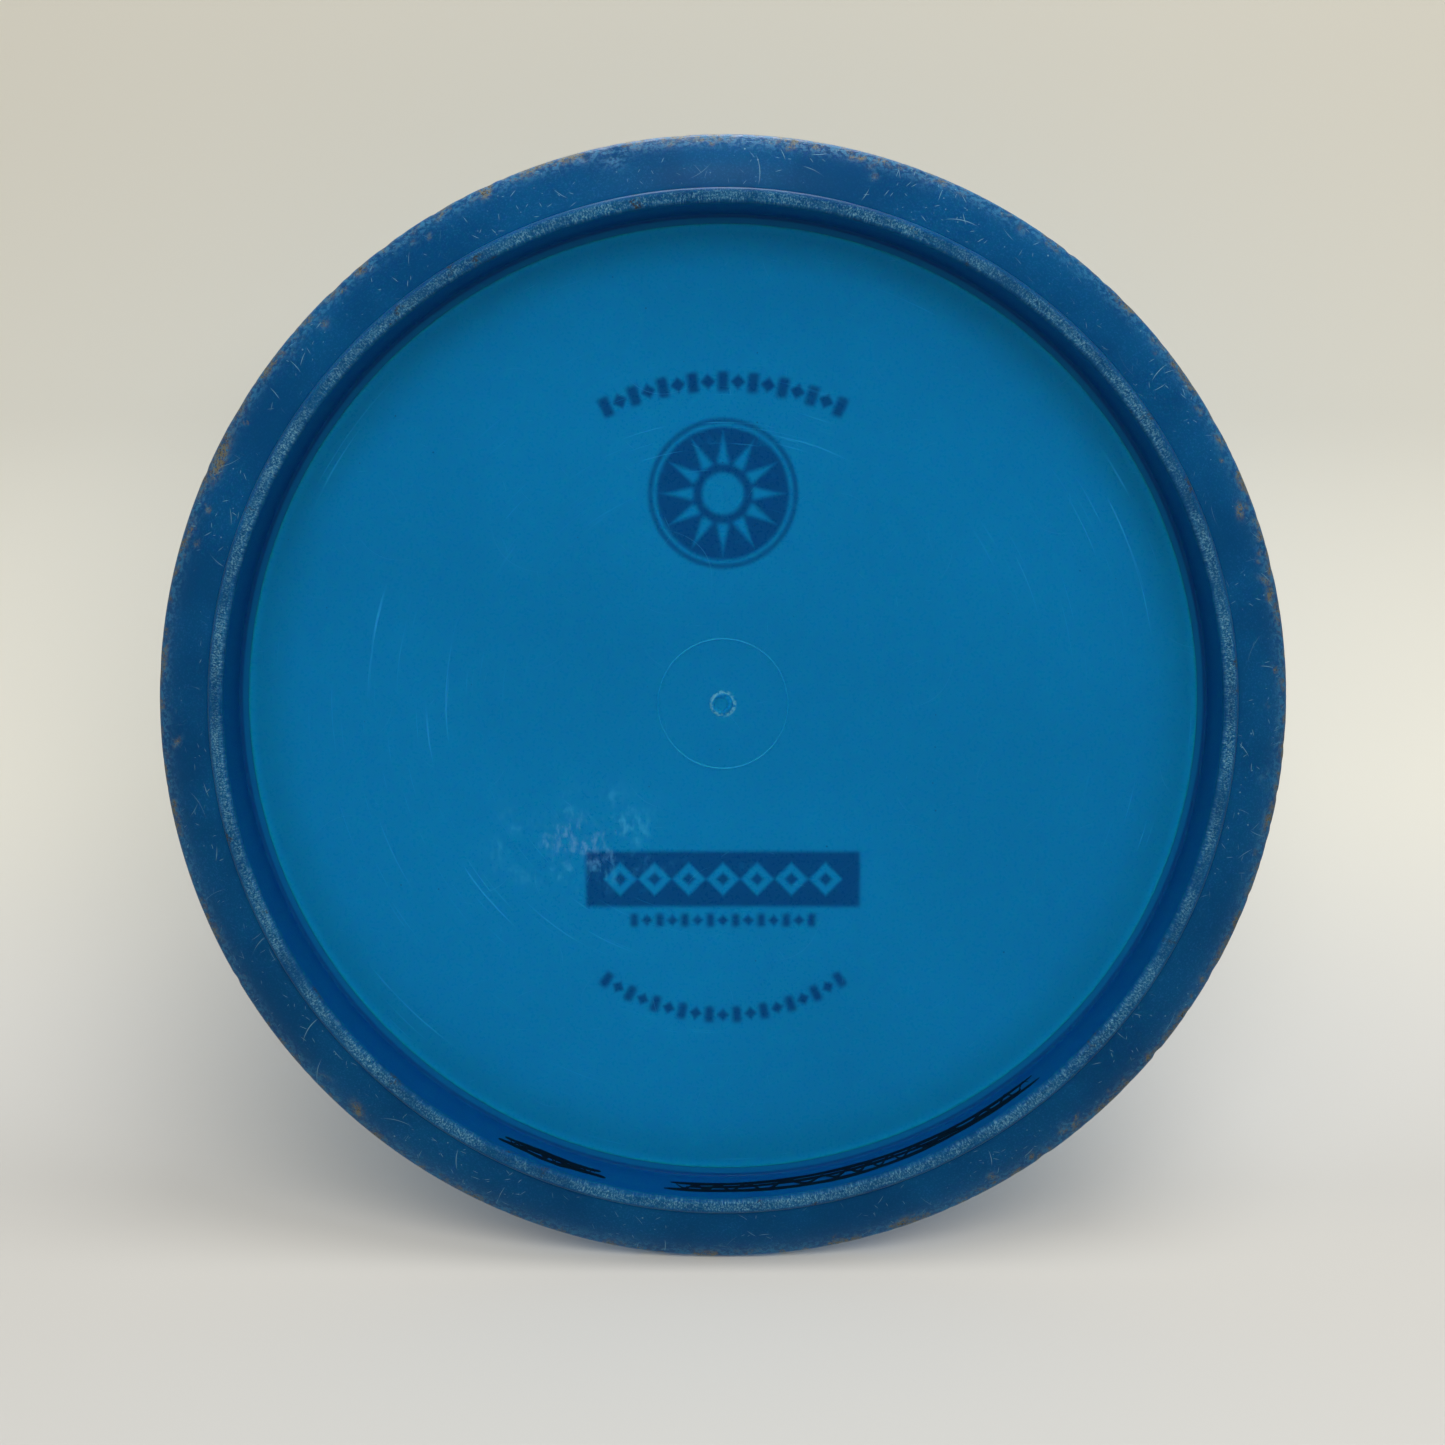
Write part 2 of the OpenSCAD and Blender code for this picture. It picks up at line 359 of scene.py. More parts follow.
class Nodes:
    """Short calls that build one material's node tree."""

    def __init__(self, name):
        self.material = bpy.data.materials.new(name)
        self.material.use_nodes = True
        self.tree = self.material.node_tree
        self.tree.nodes.clear()
        self.out = self.tree.nodes.new("ShaderNodeOutputMaterial")
        self.place = self.tree.nodes.new("ShaderNodeTexCoord").outputs["Object"]

    def set(self, socket, value):
        if isinstance(value, bpy.types.NodeSocket):
            self.tree.links.new(value, socket)
        elif socket.type == "RGBA":
            socket.default_value = (*value, 1)
        else:
            socket.default_value = value

    def math(self, operation, a, b=0.0, c=0.0):
        node = self.tree.nodes.new("ShaderNodeMath")
        node.operation = operation
        for socket, value in zip(node.inputs, (a, b, c)):
            self.set(socket, value)
        return node.outputs[0]

    def product(self, *values):
        result = values[0]
        for value in values[1:]:
            result = self.math("MULTIPLY", result, value)
        return result

    def most(self, *values):
        result = values[0]
        for value in values[1:]:
            result = self.math("MAXIMUM", result, value)
        return result

    def inverse(self, value):
        return self.math("SUBTRACT", 1.0, value)

    def vector(self, operation, a, b=(1, 1, 1)):
        node = self.tree.nodes.new("ShaderNodeVectorMath")
        node.operation = operation
        self.set(node.inputs[0], a)
        self.set(node.inputs[1], b)
        return node.outputs["Value" if operation in ("LENGTH", "DOT_PRODUCT") else "Vector"]

    def noise(self, scale, detail=4, roughness=0.5, where=None):
        node = self.tree.nodes.new("ShaderNodeTexNoise")
        self.set(node.inputs["Vector"], where or self.place)
        node.inputs["Scale"].default_value = scale
        node.inputs["Detail"].default_value = detail
        node.inputs["Roughness"].default_value = roughness
        return node.outputs[0]

    def step(self, value, low, high, out_low=0.0, out_high=1.0):
        """Rises smoothly from out_low to out_high as value goes from low to high."""
        node = self.tree.nodes.new("ShaderNodeMapRange")
        node.interpolation_type = "SMOOTHSTEP"
        for socket, number in zip(node.inputs, (value, low, high, out_low, out_high)):
            self.set(socket, number)
        return node.outputs[0]

    def within(self, value, limit, blur):
        """1 where the value's size is under limit, and 0 past it, over a stretch as wide as blur."""
        size = self.math("ABSOLUTE", value)
        return self.step(size, limit - blur / 2, limit + blur / 2, 1.0, 0.0)

    def mix(self, share, a, b):
        node = self.tree.nodes.new("ShaderNodeMix")
        node.data_type = "RGBA"
        self.set(node.inputs[0], share)
        self.set(node.inputs[6], a)
        self.set(node.inputs[7], b)
        return node.outputs[2]

    def held(self, name):
        """A number stored on the mesh's points."""
        node = self.tree.nodes.new("ShaderNodeAttribute")
        node.attribute_name = name
        return node.outputs["Fac"]

    def parts(self, vector):
        node = self.tree.nodes.new("ShaderNodeSeparateXYZ")
        self.set(node.inputs[0], vector)
        return node.outputs

    def joined(self, x, y, z):
        node = self.tree.nodes.new("ShaderNodeCombineXYZ")
        for socket, value in zip(node.inputs, (x, y, z)):
            self.set(socket, value)
        return node.outputs[0]

    def bump(self, height, distance):
        node = self.tree.nodes.new("ShaderNodeBump")
        node.inputs["Strength"].default_value = 1.0
        node.inputs["Distance"].default_value = distance
        self.set(node.inputs["Height"], height)
        return node.outputs[0]

    def round_grain(self, around, across, detail=3, roughness=0.6):
        """Noise stretched round or across the disc, by its grains in a radian and in a millimetre."""
        x, y, z = self.parts(self.place)
        r = self.math("SQRT", self.math("ADD", self.product(x, x), self.product(y, y)))
        safe = self.math("MAXIMUM", r, 1e-5)
        across_mm = self.math("ADD", self.product(r, across / MM), self.product(z, across / MM))
        where = self.joined(
            self.product(self.math("DIVIDE", x, safe), around),
            self.product(self.math("DIVIDE", y, safe), around),
            across_mm,
        )
        return self.noise(1.0, detail, roughness, where)

    def scratches(self, cell, length, width, share, bend=0.0, shift=0.0):
        """Short lines, each at its own angle, in share of the cells of the disc's plane."""
        where = self.vector("ADD", self.vector("MULTIPLY", self.place, (1, 1, 0)), (shift, shift, 0))
        node = self.tree.nodes.new("ShaderNodeTexVoronoi")
        node.voronoi_dimensions = "2D"
        self.set(node.inputs["Vector"], where)
        node.inputs["Scale"].default_value = 1 / cell
        x, y, _ = self.parts(self.vector("SUBTRACT", where, node.outputs["Position"]))
        turn, pick, size = self.parts(node.outputs["Color"])
        angle = self.product(turn, 2 * math.pi)
        cos, sin = self.math("COSINE", angle), self.math("SINE", angle)
        along = self.math("ADD", self.product(x, cos), self.product(y, sin))
        aside = self.math("SUBTRACT", self.product(y, cos), self.product(x, sin))
        aside = self.math("ADD", aside, self.product(along, along, bend / cell))
        reach = self.math("DIVIDE", along, self.math("ADD", self.product(size, length / 2), length / 10))
        tip = self.inverse(self.product(reach, reach))
        thick = self.product(self.math("MAXIMUM", tip, 0.0), width / 2)
        line = self.step(self.math("SUBTRACT", thick, self.math("ABSOLUTE", aside)), 0.0, width / 4)
        return self.product(line, self.math("LESS_THAN", pick, share))

    def flecks(self, cell, radius, share, shift=0.0):
        """Small round spots, one to a cell, in share of the cells."""
        node = self.tree.nodes.new("ShaderNodeTexVoronoi")
        node.voronoi_dimensions = "2D"
        self.set(node.inputs["Vector"], self.vector("ADD", self.place, (shift, shift, 0)))
        node.inputs["Scale"].default_value = 1 / cell
        pick, size, _ = self.parts(node.outputs["Color"])
        limit = self.product(self.math("ADD", self.product(size, 0.8), 0.2), radius / cell)
        spot = self.step(self.math("SUBTRACT", limit, node.outputs["Distance"]), 0.0, 0.3 * radius / cell)
        return self.product(spot, self.math("LESS_THAN", pick, share))

    def finish(self, **values):
        shader = self.tree.nodes.new("ShaderNodeBsdfPrincipled")
        for key, value in values.items():
            self.set(shader.inputs[key.replace("_", " ")], value)
        self.tree.links.new(shader.outputs[0], self.out.inputs["Surface"])
        return self.material


# ---------------------------------------------------------------- the print, seen through the plate, with its painted shade


def marks(n, along, across, pitch, count, mark, blur):
    """Bars and diamonds by turns. along counts pitches from the row's middle, across is in millimetres."""
    index = n.math("ROUND", along)
    x = n.product(n.math("SUBTRACT", along, index), pitch)
    bar = n.product(n.within(x, mark[0] / 2, blur), n.within(across, mark[1] / 2, blur))
    spread = n.math("ADD", n.math("ABSOLUTE", x), n.math("ABSOLUTE", across))
    diamond = n.within(spread, mark[0] * math.sqrt(0.5), blur)
    odd = n.math("ABSOLUTE", n.math("MODULO", n.math("ADD", index, count // 2), 2.0))
    either = n.math("ADD", n.product(bar, n.inverse(odd)), n.product(diamond, odd))
    return n.product(either, n.math("LESS_THAN", n.math("ABSOLUTE", along), count / 2))


def arc_marks(n, x, y, centre, radius, spread, count, mark, blur):
    """A row of marks bent round a centre on the Y axis. A centre above the middle has its row above it."""
    side = 1 if centre > 0 else -1
    up = n.product(n.math("SUBTRACT", y, centre), side)
    angle = n.math("ARCTAN2", x, up)
    across = n.math("SUBTRACT", n.math("SQRT", n.math("ADD", n.product(x, x), n.product(up, up))), radius)
    pitch = math.radians(2 * spread / (count - 1))
    return marks(n, n.math("DIVIDE", angle, pitch), across, pitch * radius, count, mark, blur)


def bar_mask(n, x, y, blur):
    """The solid bar with its row of open diamonds."""
    across = n.math("SUBTRACT", y, BAR["y"])
    solid = n.product(n.within(x, BAR["length"] / 2, blur), n.within(across, BAR["height"] / 2, blur))
    pitch = BAR["length"] / (BAR["diamonds"] + 1)
    along = n.math("DIVIDE", x, pitch)
    index = n.math("ROUND", along)
    local = n.product(n.math("SUBTRACT", along, index), pitch)
    spread = n.math("ADD", n.math("ABSOLUTE", local), n.math("ABSOLUTE", across))
    outer = n.within(spread, BAR["outer"] * math.sqrt(0.5), blur)
    inner = n.within(spread, BAR["inner"] * math.sqrt(0.5), blur)
    inside = n.math("LESS_THAN", n.math("ABSOLUTE", index), BAR["diamonds"] / 2)
    return n.math("SUBTRACT", solid, n.product(n.math("SUBTRACT", outer, inner), inside))


def emblem_mask(n, x, y, blur):
    """The round emblem: a border, a clear ring and a sun with a hole and rays left clear."""
    up = n.math("SUBTRACT", y, EMBLEM["y"])
    r = n.math("SQRT", n.math("ADD", n.product(x, x), n.product(up, up)))
    size, border = EMBLEM["radius"], EMBLEM["border"]
    pitch = 2 * math.pi / EMBLEM["rays"]
    turn = n.math("DIVIDE", n.math("ARCTAN2", up, x), pitch)
    local = n.product(n.math("SUBTRACT", turn, n.math("ROUND", turn)), pitch)
    start, end, half = (share * size for share in EMBLEM["ray"])
    along = n.product(r, n.math("COSINE", local))
    limit = n.product(n.math("SUBTRACT", end, along), half / (end - start))
    aside = n.math("ABSOLUTE", n.product(r, n.math("SINE", local)))
    ray = n.product(
        n.step(n.math("SUBTRACT", limit, aside), -blur / 2, blur / 2),
        n.step(along, start - blur / 2, start + blur / 2),
    )
    clear = n.most(
        ray,
        n.within(n.math("SUBTRACT", r, size - 1.5 * border), border / 2, blur),
        n.within(r, size * EMBLEM["hole"], blur),
    )
    return n.product(n.within(r, size, blur), n.inverse(clear))


def print_mask(n, x, y):
    """Where the print on the top, and the shade it casts through the plate, show on the underside, as a soft
    shape from 0 to 1.
    """
    blur = 1.4
    rows = [arc_marks(n, x, y, blur=blur, **row) for row in (UPPER_ARC, LOWER_ARC)]
    across = n.math("SUBTRACT", y, LINE["y"])
    along = n.math("DIVIDE", x, LINE["pitch"])
    rows.append(marks(n, along, across, LINE["pitch"], LINE["count"], LINE["mark"], blur))
    return n.most(*rows, bar_mask(n, x, y, blur), emblem_mask(n, x, y, blur))


# ---------------------------------------------------------------- materials

SUBSURFACE = {
    "Subsurface_Radius": (0.15, 0.6, 1.6),
    "IOR": 1.5,
    "Specular_IOR_Level": 0.22,
}

SCUFF_BLUE = (0.035, 0.20, 0.36)
PALE_SCUFF = (0.19, 0.38, 0.46)
DUST_BLUE = (0.02, 0.15, 0.36)
SOIL = (0.130, 0.120, 0.070)
GRIME = (0.030, 0.028, 0.022)


def rim_plastic():
    """The rim: deep blue, stippled along the bead, scratched and soiled towards the nose, with painted light
    on its inner wall and along the fillet.
    """
    n = Nodes("rim_plastic")
    x, y, z = n.parts(n.vector("MULTIPLY", n.place, (1 / MM,) * 3))
    r = n.math("SQRT", n.math("ADD", n.product(x, x), n.product(y, y)))

    low = n.step(z, 0.5, 1.6, 1.0, 0.0)
    bead = n.product(low, n.step(r, CREASE_MM - 0.2, CREASE_MM + 0.3, 1.0, 0.0))
    nose = n.step(r, NOSE_MM - 4.0, NOSE_MM - 0.3)
    outside = n.step(r, CREASE_MM, CREASE_MM + 1)

    cloud = n.noise(45, 3)
    fine = n.noise(2600, 3, 0.65)
    colour = n.mix(n.step(cloud, 0.35, 0.65), (0.0, 0.054, 0.162), (0.0, 0.072, 0.200))
    # Painted light: the inner wall is a bluer copy of the rim's colour, for the light that reaches it through
    # the plate
    inner = n.product(n.step(r, MOUTH_MM, MOUTH_MM + 0.6, 1.0, 0.0), n.step(z, 0.8, 1.8))
    colour = n.mix(inner, colour, (0.0, 0.055, 0.205))

    dusty = n.product(n.step(fine, 0.50, 0.68), n.step(cloud, 0.3, 0.6, 0.25, 0.8), outside)
    colour = n.mix(n.product(dusty, 0.45), colour, DUST_BLUE)

    worn = n.most(nose, n.held("scuff"))
    rubbed = n.product(worn, n.step(n.noise(1100, 4, 0.7), 0.46, 0.58))
    colour = n.mix(n.product(rubbed, 0.5), colour, SCUFF_BLUE)

    grain = n.round_grain(320, 2.4, 4, 0.75)
    patchy = n.step(n.noise(110, 3), 0.32, 0.62, 0.3, 1.0)
    patchy = n.product(patchy, n.within(n.math("SUBTRACT", r, BEAD_MIDDLE_MM - 0.1), 1.0, 1.2))
    bead_rub = n.product(bead, n.step(grain, 0.38, 0.56), patchy)
    colour = n.mix(n.product(bead_rub, 0.55), colour, SCUFF_BLUE)
    bead_fleck = n.product(bead, n.step(grain, 0.53, 0.60), patchy)
    colour = n.mix(n.product(bead_fleck, 0.6), colour, PALE_SCUFF)
    bead_scuff = n.most(n.product(bead_rub, 0.6), bead_fleck)

    lines = n.most(
        n.scratches(9 * MM, 8 * MM, 0.17 * MM, 0.4, 0.5),
        n.scratches(4 * MM, 3.5 * MM, 0.13 * MM, 0.4, 0.2, 0.3),
        n.scratches(2.2 * MM, 1.6 * MM, 0.12 * MM, 0.35, 0.0, 0.7),
    )
    lines = n.product(lines, n.step(n.noise(70, 2), 0.38, 0.6), outside)
    colour = n.mix(n.product(lines, 0.6), colour, PALE_SCUFF)

    specks = n.product(n.flecks(2.2 * MM, 0.20 * MM, 0.25), outside, n.step(cloud, 0.4, 0.6))
    colour = n.mix(n.product(specks, 0.5), colour, PALE_SCUFF)

    breakup = n.step(n.noise(1700, 4, 0.75), 0.42, 0.52)
    soil = n.product(n.held("dirt"), breakup)
    clump = n.noise(150, 4, 0.7)
    edge_soil = n.product(n.step(r, NOSE_MM - 2.3, NOSE_MM - 0.3), n.step(clump, 0.50, 0.60), breakup)
    bead_soil = n.product(bead, n.step(clump, 0.60, 0.68), n.step(fine, 0.44, 0.52))
    colour = n.mix(n.product(n.most(soil, edge_soil), 0.9), colour, SOIL)
    colour = n.mix(n.product(bead_soil, 0.85), colour, GRIME)
    pits = n.product(n.most(n.held("dirt"), edge_soil), n.step(fine, 0.56, 0.62))
    colour = n.mix(pits, colour, GRIME)

    # Painted light: the fillet lets more light through, so a thin brighter line is painted round the plate
    painted_fillet_glow = n.product(n.step(r, SEAM_MM + 0.9, SEAM_MM + 1.3, 1.0, 0.0), n.step(z, 12.2, 12.8))
    colour = n.mix(n.product(painted_fillet_glow, 0.35), colour, (0.0, 0.22, 0.46))

    matted = n.most(bead_scuff, n.product(rubbed, 0.8), lines, specks, soil)
    rough = n.math("ADD", n.step(fine, 0.3, 0.7, 0.30, 0.38), n.product(matted, 0.25))
    height = n.math("SUBTRACT", n.product(fine, 0.12), n.product(rubbed, 0.5))
    height = n.math("ADD", height, bead_scuff)
    return n.finish(
        Base_Color=colour,
        Roughness=rough,
        Normal=n.bump(height, 0.04 * MM),
        Subsurface_Weight=n.step(n.most(matted, edge_soil, bead_soil), 0.05, 0.6, 1.0, 0.0),
        Subsurface_Scale=0.6 * MM,
        **SUBSURFACE,
    )


def plate_plastic():
    """The plate: bright translucent blue, with hairlines, hazy rubs, the print showing through with its shade
    painted in, and painted light along its edge and on the witness ring.
    """
    n = Nodes("plate_plastic")
    x, y, z = n.parts(n.vector("MULTIPLY", n.place, (1 / MM,) * 3))
    r2 = n.math("ADD", n.product(x, x), n.product(y, y))
    r = n.math("SQRT", r2)
    fall = CROWN / MM / (WALL_TOP_R / MM) ** 2
    depth = n.math("SUBTRACT", n.math("SUBTRACT", DISC_H / MM, n.product(r2, fall)), z)
    underside = n.step(depth, 1.0, 1.6)

    cloud = n.noise(14, 2)
    colour = n.mix(n.step(cloud, 0.3, 0.7), (0.0, 0.174, 0.390), (0.0, 0.192, 0.424))
    # Darker and less blue towards the edge; then painted light, a brighter line along the last 2 mm by the
    # fillet, for the light that comes through there
    colour = n.mix(n.step(r, SEAM_MM - 10.5, SEAM_MM - 2.5, 0.0, 0.7), colour, (0.0, 0.165, 0.345))
    colour = n.mix(n.step(r, SEAM_MM - 2, SEAM_MM, 0.0, 0.45), colour, (0.0, 0.28, 0.60))

    # Partly painted shade: the dark print on the top seen through the plate, together with the shade it casts
    # where it blocks the light from behind
    print_and_painted_shade = n.product(print_mask(n, x, y), underside, n.step(n.noise(240, 3), 0.25, 0.4, 0.8, 1.0))
    colour = n.mix(n.product(print_and_painted_shade, 0.80), colour, (0.0, 0.032, 0.16))

    # A hazy rub beside the bar, where the disc has slid over rough ground
    rub_at = n.vector("SUBTRACT", n.place, (28 * MM, -27 * MM, 0))
    rub_far = n.vector("LENGTH", n.vector("MULTIPLY", rub_at, (0.6 / MM, 1.0 / MM, 0)))
    rub_fade = n.step(rub_far, 2.0, 16.0, 1.0, 0.0)
    streak = n.noise(1.0, 5, 0.7, n.vector("MULTIPLY", n.place, (900, 420, 0)))
    patches = n.product(n.step(n.noise(170, 4, 0.6), 0.45, 0.62), n.step(n.noise(60, 2), 0.3, 0.5))
    haze = n.product(rub_fade, patches, n.step(streak, 0.40, 0.66), underside)
    rub_tint = n.mix(n.step(rub_far, 2.0, 7.0), (0.12, 0.25, 0.50), (0.03, 0.30, 0.56))
    colour = n.mix(n.product(haze, 0.55), colour, rub_tint)

    rings = n.step(n.round_grain(2.6, 2.2, 2, 0.5), 0.66, 0.72)
    ring_zone = n.product(n.step(n.noise(26, 2), 0.48, 0.62), n.step(r, 30, 60))
    rings = n.product(rings, ring_zone)
    lines = n.most(
        n.scratches(26 * MM, 20 * MM, 0.13 * MM, 0.45, 1.6),
        n.scratches(11 * MM, 8 * MM, 0.10 * MM, 0.3, 0.8, 0.4),
        n.scratches(5 * MM, 3 * MM, 0.12 * MM, 0.12, 0.0, 0.9),
    )
    colour = n.mix(n.product(rings, 0.55), colour, (0.01, 0.29, 0.60))
    colour = n.mix(n.product(lines, 0.35), colour, (0.04, 0.34, 0.64))
    specks = n.flecks(7 * MM, 0.22 * MM, 0.12)
    colour = n.mix(n.product(specks, 0.7), colour, (0.0, 0.04, 0.13))

    # Painted highlight: the witness ring is painted brighter towards the top and bottom of the disc, where
    # the light catches it
    painted_highlight_side = n.math("DIVIDE", n.math("ABSOLUTE", y), n.math("MAXIMUM", r, 1.0))
    witness = n.product(n.within(n.math("SUBTRACT", r, WITNESS_R / MM), 0.15, 0.25), painted_highlight_side, underside)
    colour = n.mix(n.product(witness, 0.5), colour, (0.02, 0.32, 0.58))

    gate = n.product(n.within(n.math("SUBTRACT", r, 2.3), 0.3, 0.4), underside)
    gate = n.product(gate, n.step(n.noise(1500, 3, 0.7), 0.42, 0.60))
    colour = n.mix(n.product(gate, 0.6), colour, (0.12, 0.36, 0.46))

    fine = n.noise(1500, 3, 0.6)
    marks_all = n.most(haze, rings, lines, gate)
    rough = n.math("ADD", n.step(fine, 0.3, 0.7, 0.26, 0.33), n.product(marks_all, 0.2))
    height = n.math("SUBTRACT", n.product(fine, 0.05), n.product(rings, 0.8))
    return n.finish(
        Base_Color=colour,
        Roughness=rough,
        Normal=n.bump(height, 0.01 * MM),
        Subsurface_Weight=n.step(n.most(haze, gate), 0.0, 0.6, 1.0, 0.0),
        Subsurface_Scale=2.0 * MM,
        **SUBSURFACE,
    )


def foil_film():
    """Hot-stamped pigment foil, worn through to the blue in small specks."""
    n = Nodes("stamp_foil")
    wear = n.noise(1300, 5, 0.75)
    broad = n.noise(90, 3)
    lost = n.product(n.step(wear, 0.60, 0.66), n.step(broad, 0.4, 0.65))
    lines = n.scratches(8 * MM, 6 * MM, 0.14 * MM, 0.5, 0.6)
    lost = n.most(lost, n.product(lines, 0.8))
    colour = n.mix(n.step(broad, 0.3, 0.7), (0.020, 0.022, 0.032), (0.034, 0.036, 0.048))
    colour = n.mix(lost, colour, (0.004, 0.11, 0.33))
    rough = n.math("ADD", n.step(wear, 0.3, 0.7, 0.30, 0.48), n.product(lost, 0.1))
    normal = n.bump(n.math("ADD", n.product(wear, 0.3), n.inverse(lost)), 0.01 * MM)
    return n.finish(Base_Color=colour, Roughness=rough, Normal=normal)


def marker_ink():
    """Dried marker, thinner where the pen ran fast."""
    n = Nodes("marker_ink")
    streak = n.round_grain(60, 2.5, 4, 0.6)
    thin = n.step(streak, 0.52, 0.75)
    colour = n.mix(thin, (0.001, 0.0012, 0.004), (0.002, 0.008, 0.028))
    rough = n.step(streak, 0.3, 0.7, 0.50, 0.65)
    normal = n.bump(streak, 0.01 * MM)
    return n.finish(Base_Color=colour, Roughness=rough, Normal=normal, Specular_IOR_Level=0.15)


# ---------------------------------------------------------------- stage

# The disc stands on its nose, leans back from the viewer and the camera looks down on it a little
LEAN = math.radians(10)
STAGE_UP = Vector((0, math.cos(LEAN), -math.sin(LEAN)))
STAGE_BACK = Vector((0, math.sin(LEAN), math.cos(LEAN)))
STAGE_RIGHT = Vector((-1, 0, 0))
DISC_MIDDLE = Vector((0, 0, NOSE_H))
FOOT = DISC_MIDDLE - Vector((0, NOSE_OUT - NOSE_R, 0)) - STAGE_UP * NOSE_R


def stage_point(right, back, up):
    """A point of the standing disc's set, from the disc's foot."""
    return FOOT + STAGE_RIGHT * right + STAGE_BACK * back + STAGE_UP * up


def only_for_camera(piece):
    """The set is seen, and shadows fall on it, but it neither shades nor lights the disc."""
    piece.visible_diffuse = False
    piece.visible_glossy = False
    piece.visible_transmission = False
    piece.visible_shadow = False


def paper(name, colour, from_below=False):
    """Matte paper seen from its front only. With from_below, what stands above the lying disc's floor is
    seen only by looking up through both of that floor's sheets."""
    n = Nodes(name)
    hidden = n.tree.nodes.new("ShaderNodeNewGeometry").outputs["Backfacing"]
    if from_below:
        passed = n.tree.nodes.new("ShaderNodeLightPath").outputs["Transparent Depth"]
        above = n.math("GREATER_THAN", n.parts(n.place)[2], 0.0)
        hidden = n.most(hidden, n.product(n.math("LESS_THAN", passed, 1.5), above))
    matte = n.tree.nodes.new("ShaderNodeBsdfDiffuse")
    n.set(matte.inputs["Color"], colour(n))
    clear = n.tree.nodes.new("ShaderNodeBsdfTransparent")
    either = n.tree.nodes.new("ShaderNodeMixShader")
    n.set(either.inputs[0], hidden)
    n.set(either.inputs[1], matte.outputs[0])
    n.set(either.inputs[2], clear.outputs[0])
    n.set(n.out.inputs["Surface"], either.outputs[0])
    return n.material


def make_cove():
    """The standing disc's floor and backdrop: one sheet of paper with a wide curve."""
    front, behind, bend, top, half = -0.5, 0.03, 0.14, 0.6, 0.5
    outline = [(front, 0.0), (-0.1, 0.0)]
    for i in range(33):
        a = math.pi / 2 * i / 32
        outline.append((behind + bend * math.sin(a), bend * (1 - math.cos(a))))
    outline.append((behind + bend, top))
    points = [stage_point(side * half, d, h) for d, h in outline for side in (-1, 1)]
    faces = [[2 * i, 2 * i + 1, 2 * i + 3, 2 * i + 2] for i in range(len(outline) - 1)]
    cove = mesh_object("stage_cove", points, faces)

    def colour(n):
        # Painted light and shade: the paper changes colour with height, neutral on the floor, paler and
        # warmer up the curve and darker towards the top of the backdrop, to give the fall of the light
        height = n.math("SUBTRACT", n.vector("DOT_PRODUCT", n.place, tuple(STAGE_UP)), FOOT.dot(STAGE_UP))
        curve = n.mix(n.step(height, 0.0, 0.06), (0.575, 0.565, 0.535), (0.655, 0.635, 0.560))
        return n.mix(n.step(height, 0.10, 0.25), curve, (0.560, 0.535, 0.460))

    cove.data.materials.append(paper("cove_paper", colour, from_below=True))
    only_for_camera(cove)
    return cove


def make_floor():
    """The pale floor under the lying disc, for every view from above: two sheets a hair apart."""
    half, gap = 6.0, 0.02 * MM
    points = [(x * half, y * half, -gap * n) for n in (0, 1) for x, y in ((-1, -1), (1, -1), (1, 1), (-1, 1))]
    floor = mesh_object("stage_floor", points, [[0, 1, 2, 3], [4, 5, 6, 7]])

    def colour(n):
        return n.mix(n.noise(900, 3), (0.70, 0.70, 0.68), (0.72, 0.72, 0.70))

    floor.data.materials.append(paper("floor_paper", colour))
    only_for_camera(floor)
    return floor


def soft_light(name, place, watts, size, lit, aim=None, shine=1.0):
    """A large soft lamp that lights only one collection. It points at the disc unless aim is given.

    shine is 0 for a lamp that is not seen in reflections."""
    lamp = bpy.data.lights.new(name, "AREA")
    lamp.shape = "DISK"
    lamp.size = size
    lamp.energy = watts
    holder = bpy.data.objects.new(name, lamp)
    holder.location = place
    holder.rotation_euler = ((aim or DISC_MIDDLE) - place).to_track_quat("-Z", "Y").to_euler()
    bpy.context.scene.collection.objects.link(holder)
    holder.visible_camera = False
    holder.visible_glossy = shine > 0
    holder.light_linking.receiver_collection = lit


def make_sun(way, strength, lit):
    """A wide even light on the lying disc's floor, from the side that the back lamp is on."""
    lamp = bpy.data.lights.new("sun", "SUN")
    lamp.energy = strength
    lamp.angle = math.radians(40)
    holder = bpy.data.objects.new("sun", lamp)
    holder.rotation_euler = (-way).to_track_quat("-Z", "Y").to_euler()
    bpy.context.scene.collection.objects.link(holder)
    holder.visible_camera = False
    holder.visible_glossy = False
    holder.light_linking.receiver_collection = lit


def group(name, objects):
    """A collection that a lamp can be linked to."""
    made = bpy.data.collections.new(name)
    for member in objects:
        made.objects.link(member)
    return made


def make_world():
    """Pale all round, and dim in reflections from below, where the viewer's side of the room is."""
    world = bpy.data.worlds.new("studio")
    bpy.context.scene.world = world
    world.use_nodes = True
    tree = world.node_tree
    background = tree.nodes["Background"]
    background.inputs["Color"].default_value = (0.82, 0.80, 0.75, 1)
    way = tree.nodes.new("ShaderNodeSeparateXYZ")
    tree.links.new(tree.nodes.new("ShaderNodeTexCoord").outputs["Generated"], way.inputs[0])
    path = tree.nodes.new("ShaderNodeLightPath")
    glossy = tree.nodes.new("ShaderNodeMapRange")
    tree.links.new(path.outputs["Is Glossy Ray"], glossy.inputs["Value"])
    glossy.inputs["To Min"].default_value = 0.60
    glossy.inputs["To Max"].default_value = 0.03
    height = tree.nodes.new("ShaderNodeMapRange")
    height.interpolation_type = "SMOOTHSTEP"
    tree.links.new(way.outputs["Z"], height.inputs["Value"])
    height.inputs["From Min"].default_value = -0.35
    height.inputs["From Max"].default_value = 0.1
    tree.links.new(glossy.outputs[0], height.inputs["To Min"])
    height.inputs["To Max"].default_value = 0.5
    tree.links.new(height.outputs[0], background.inputs["Strength"])


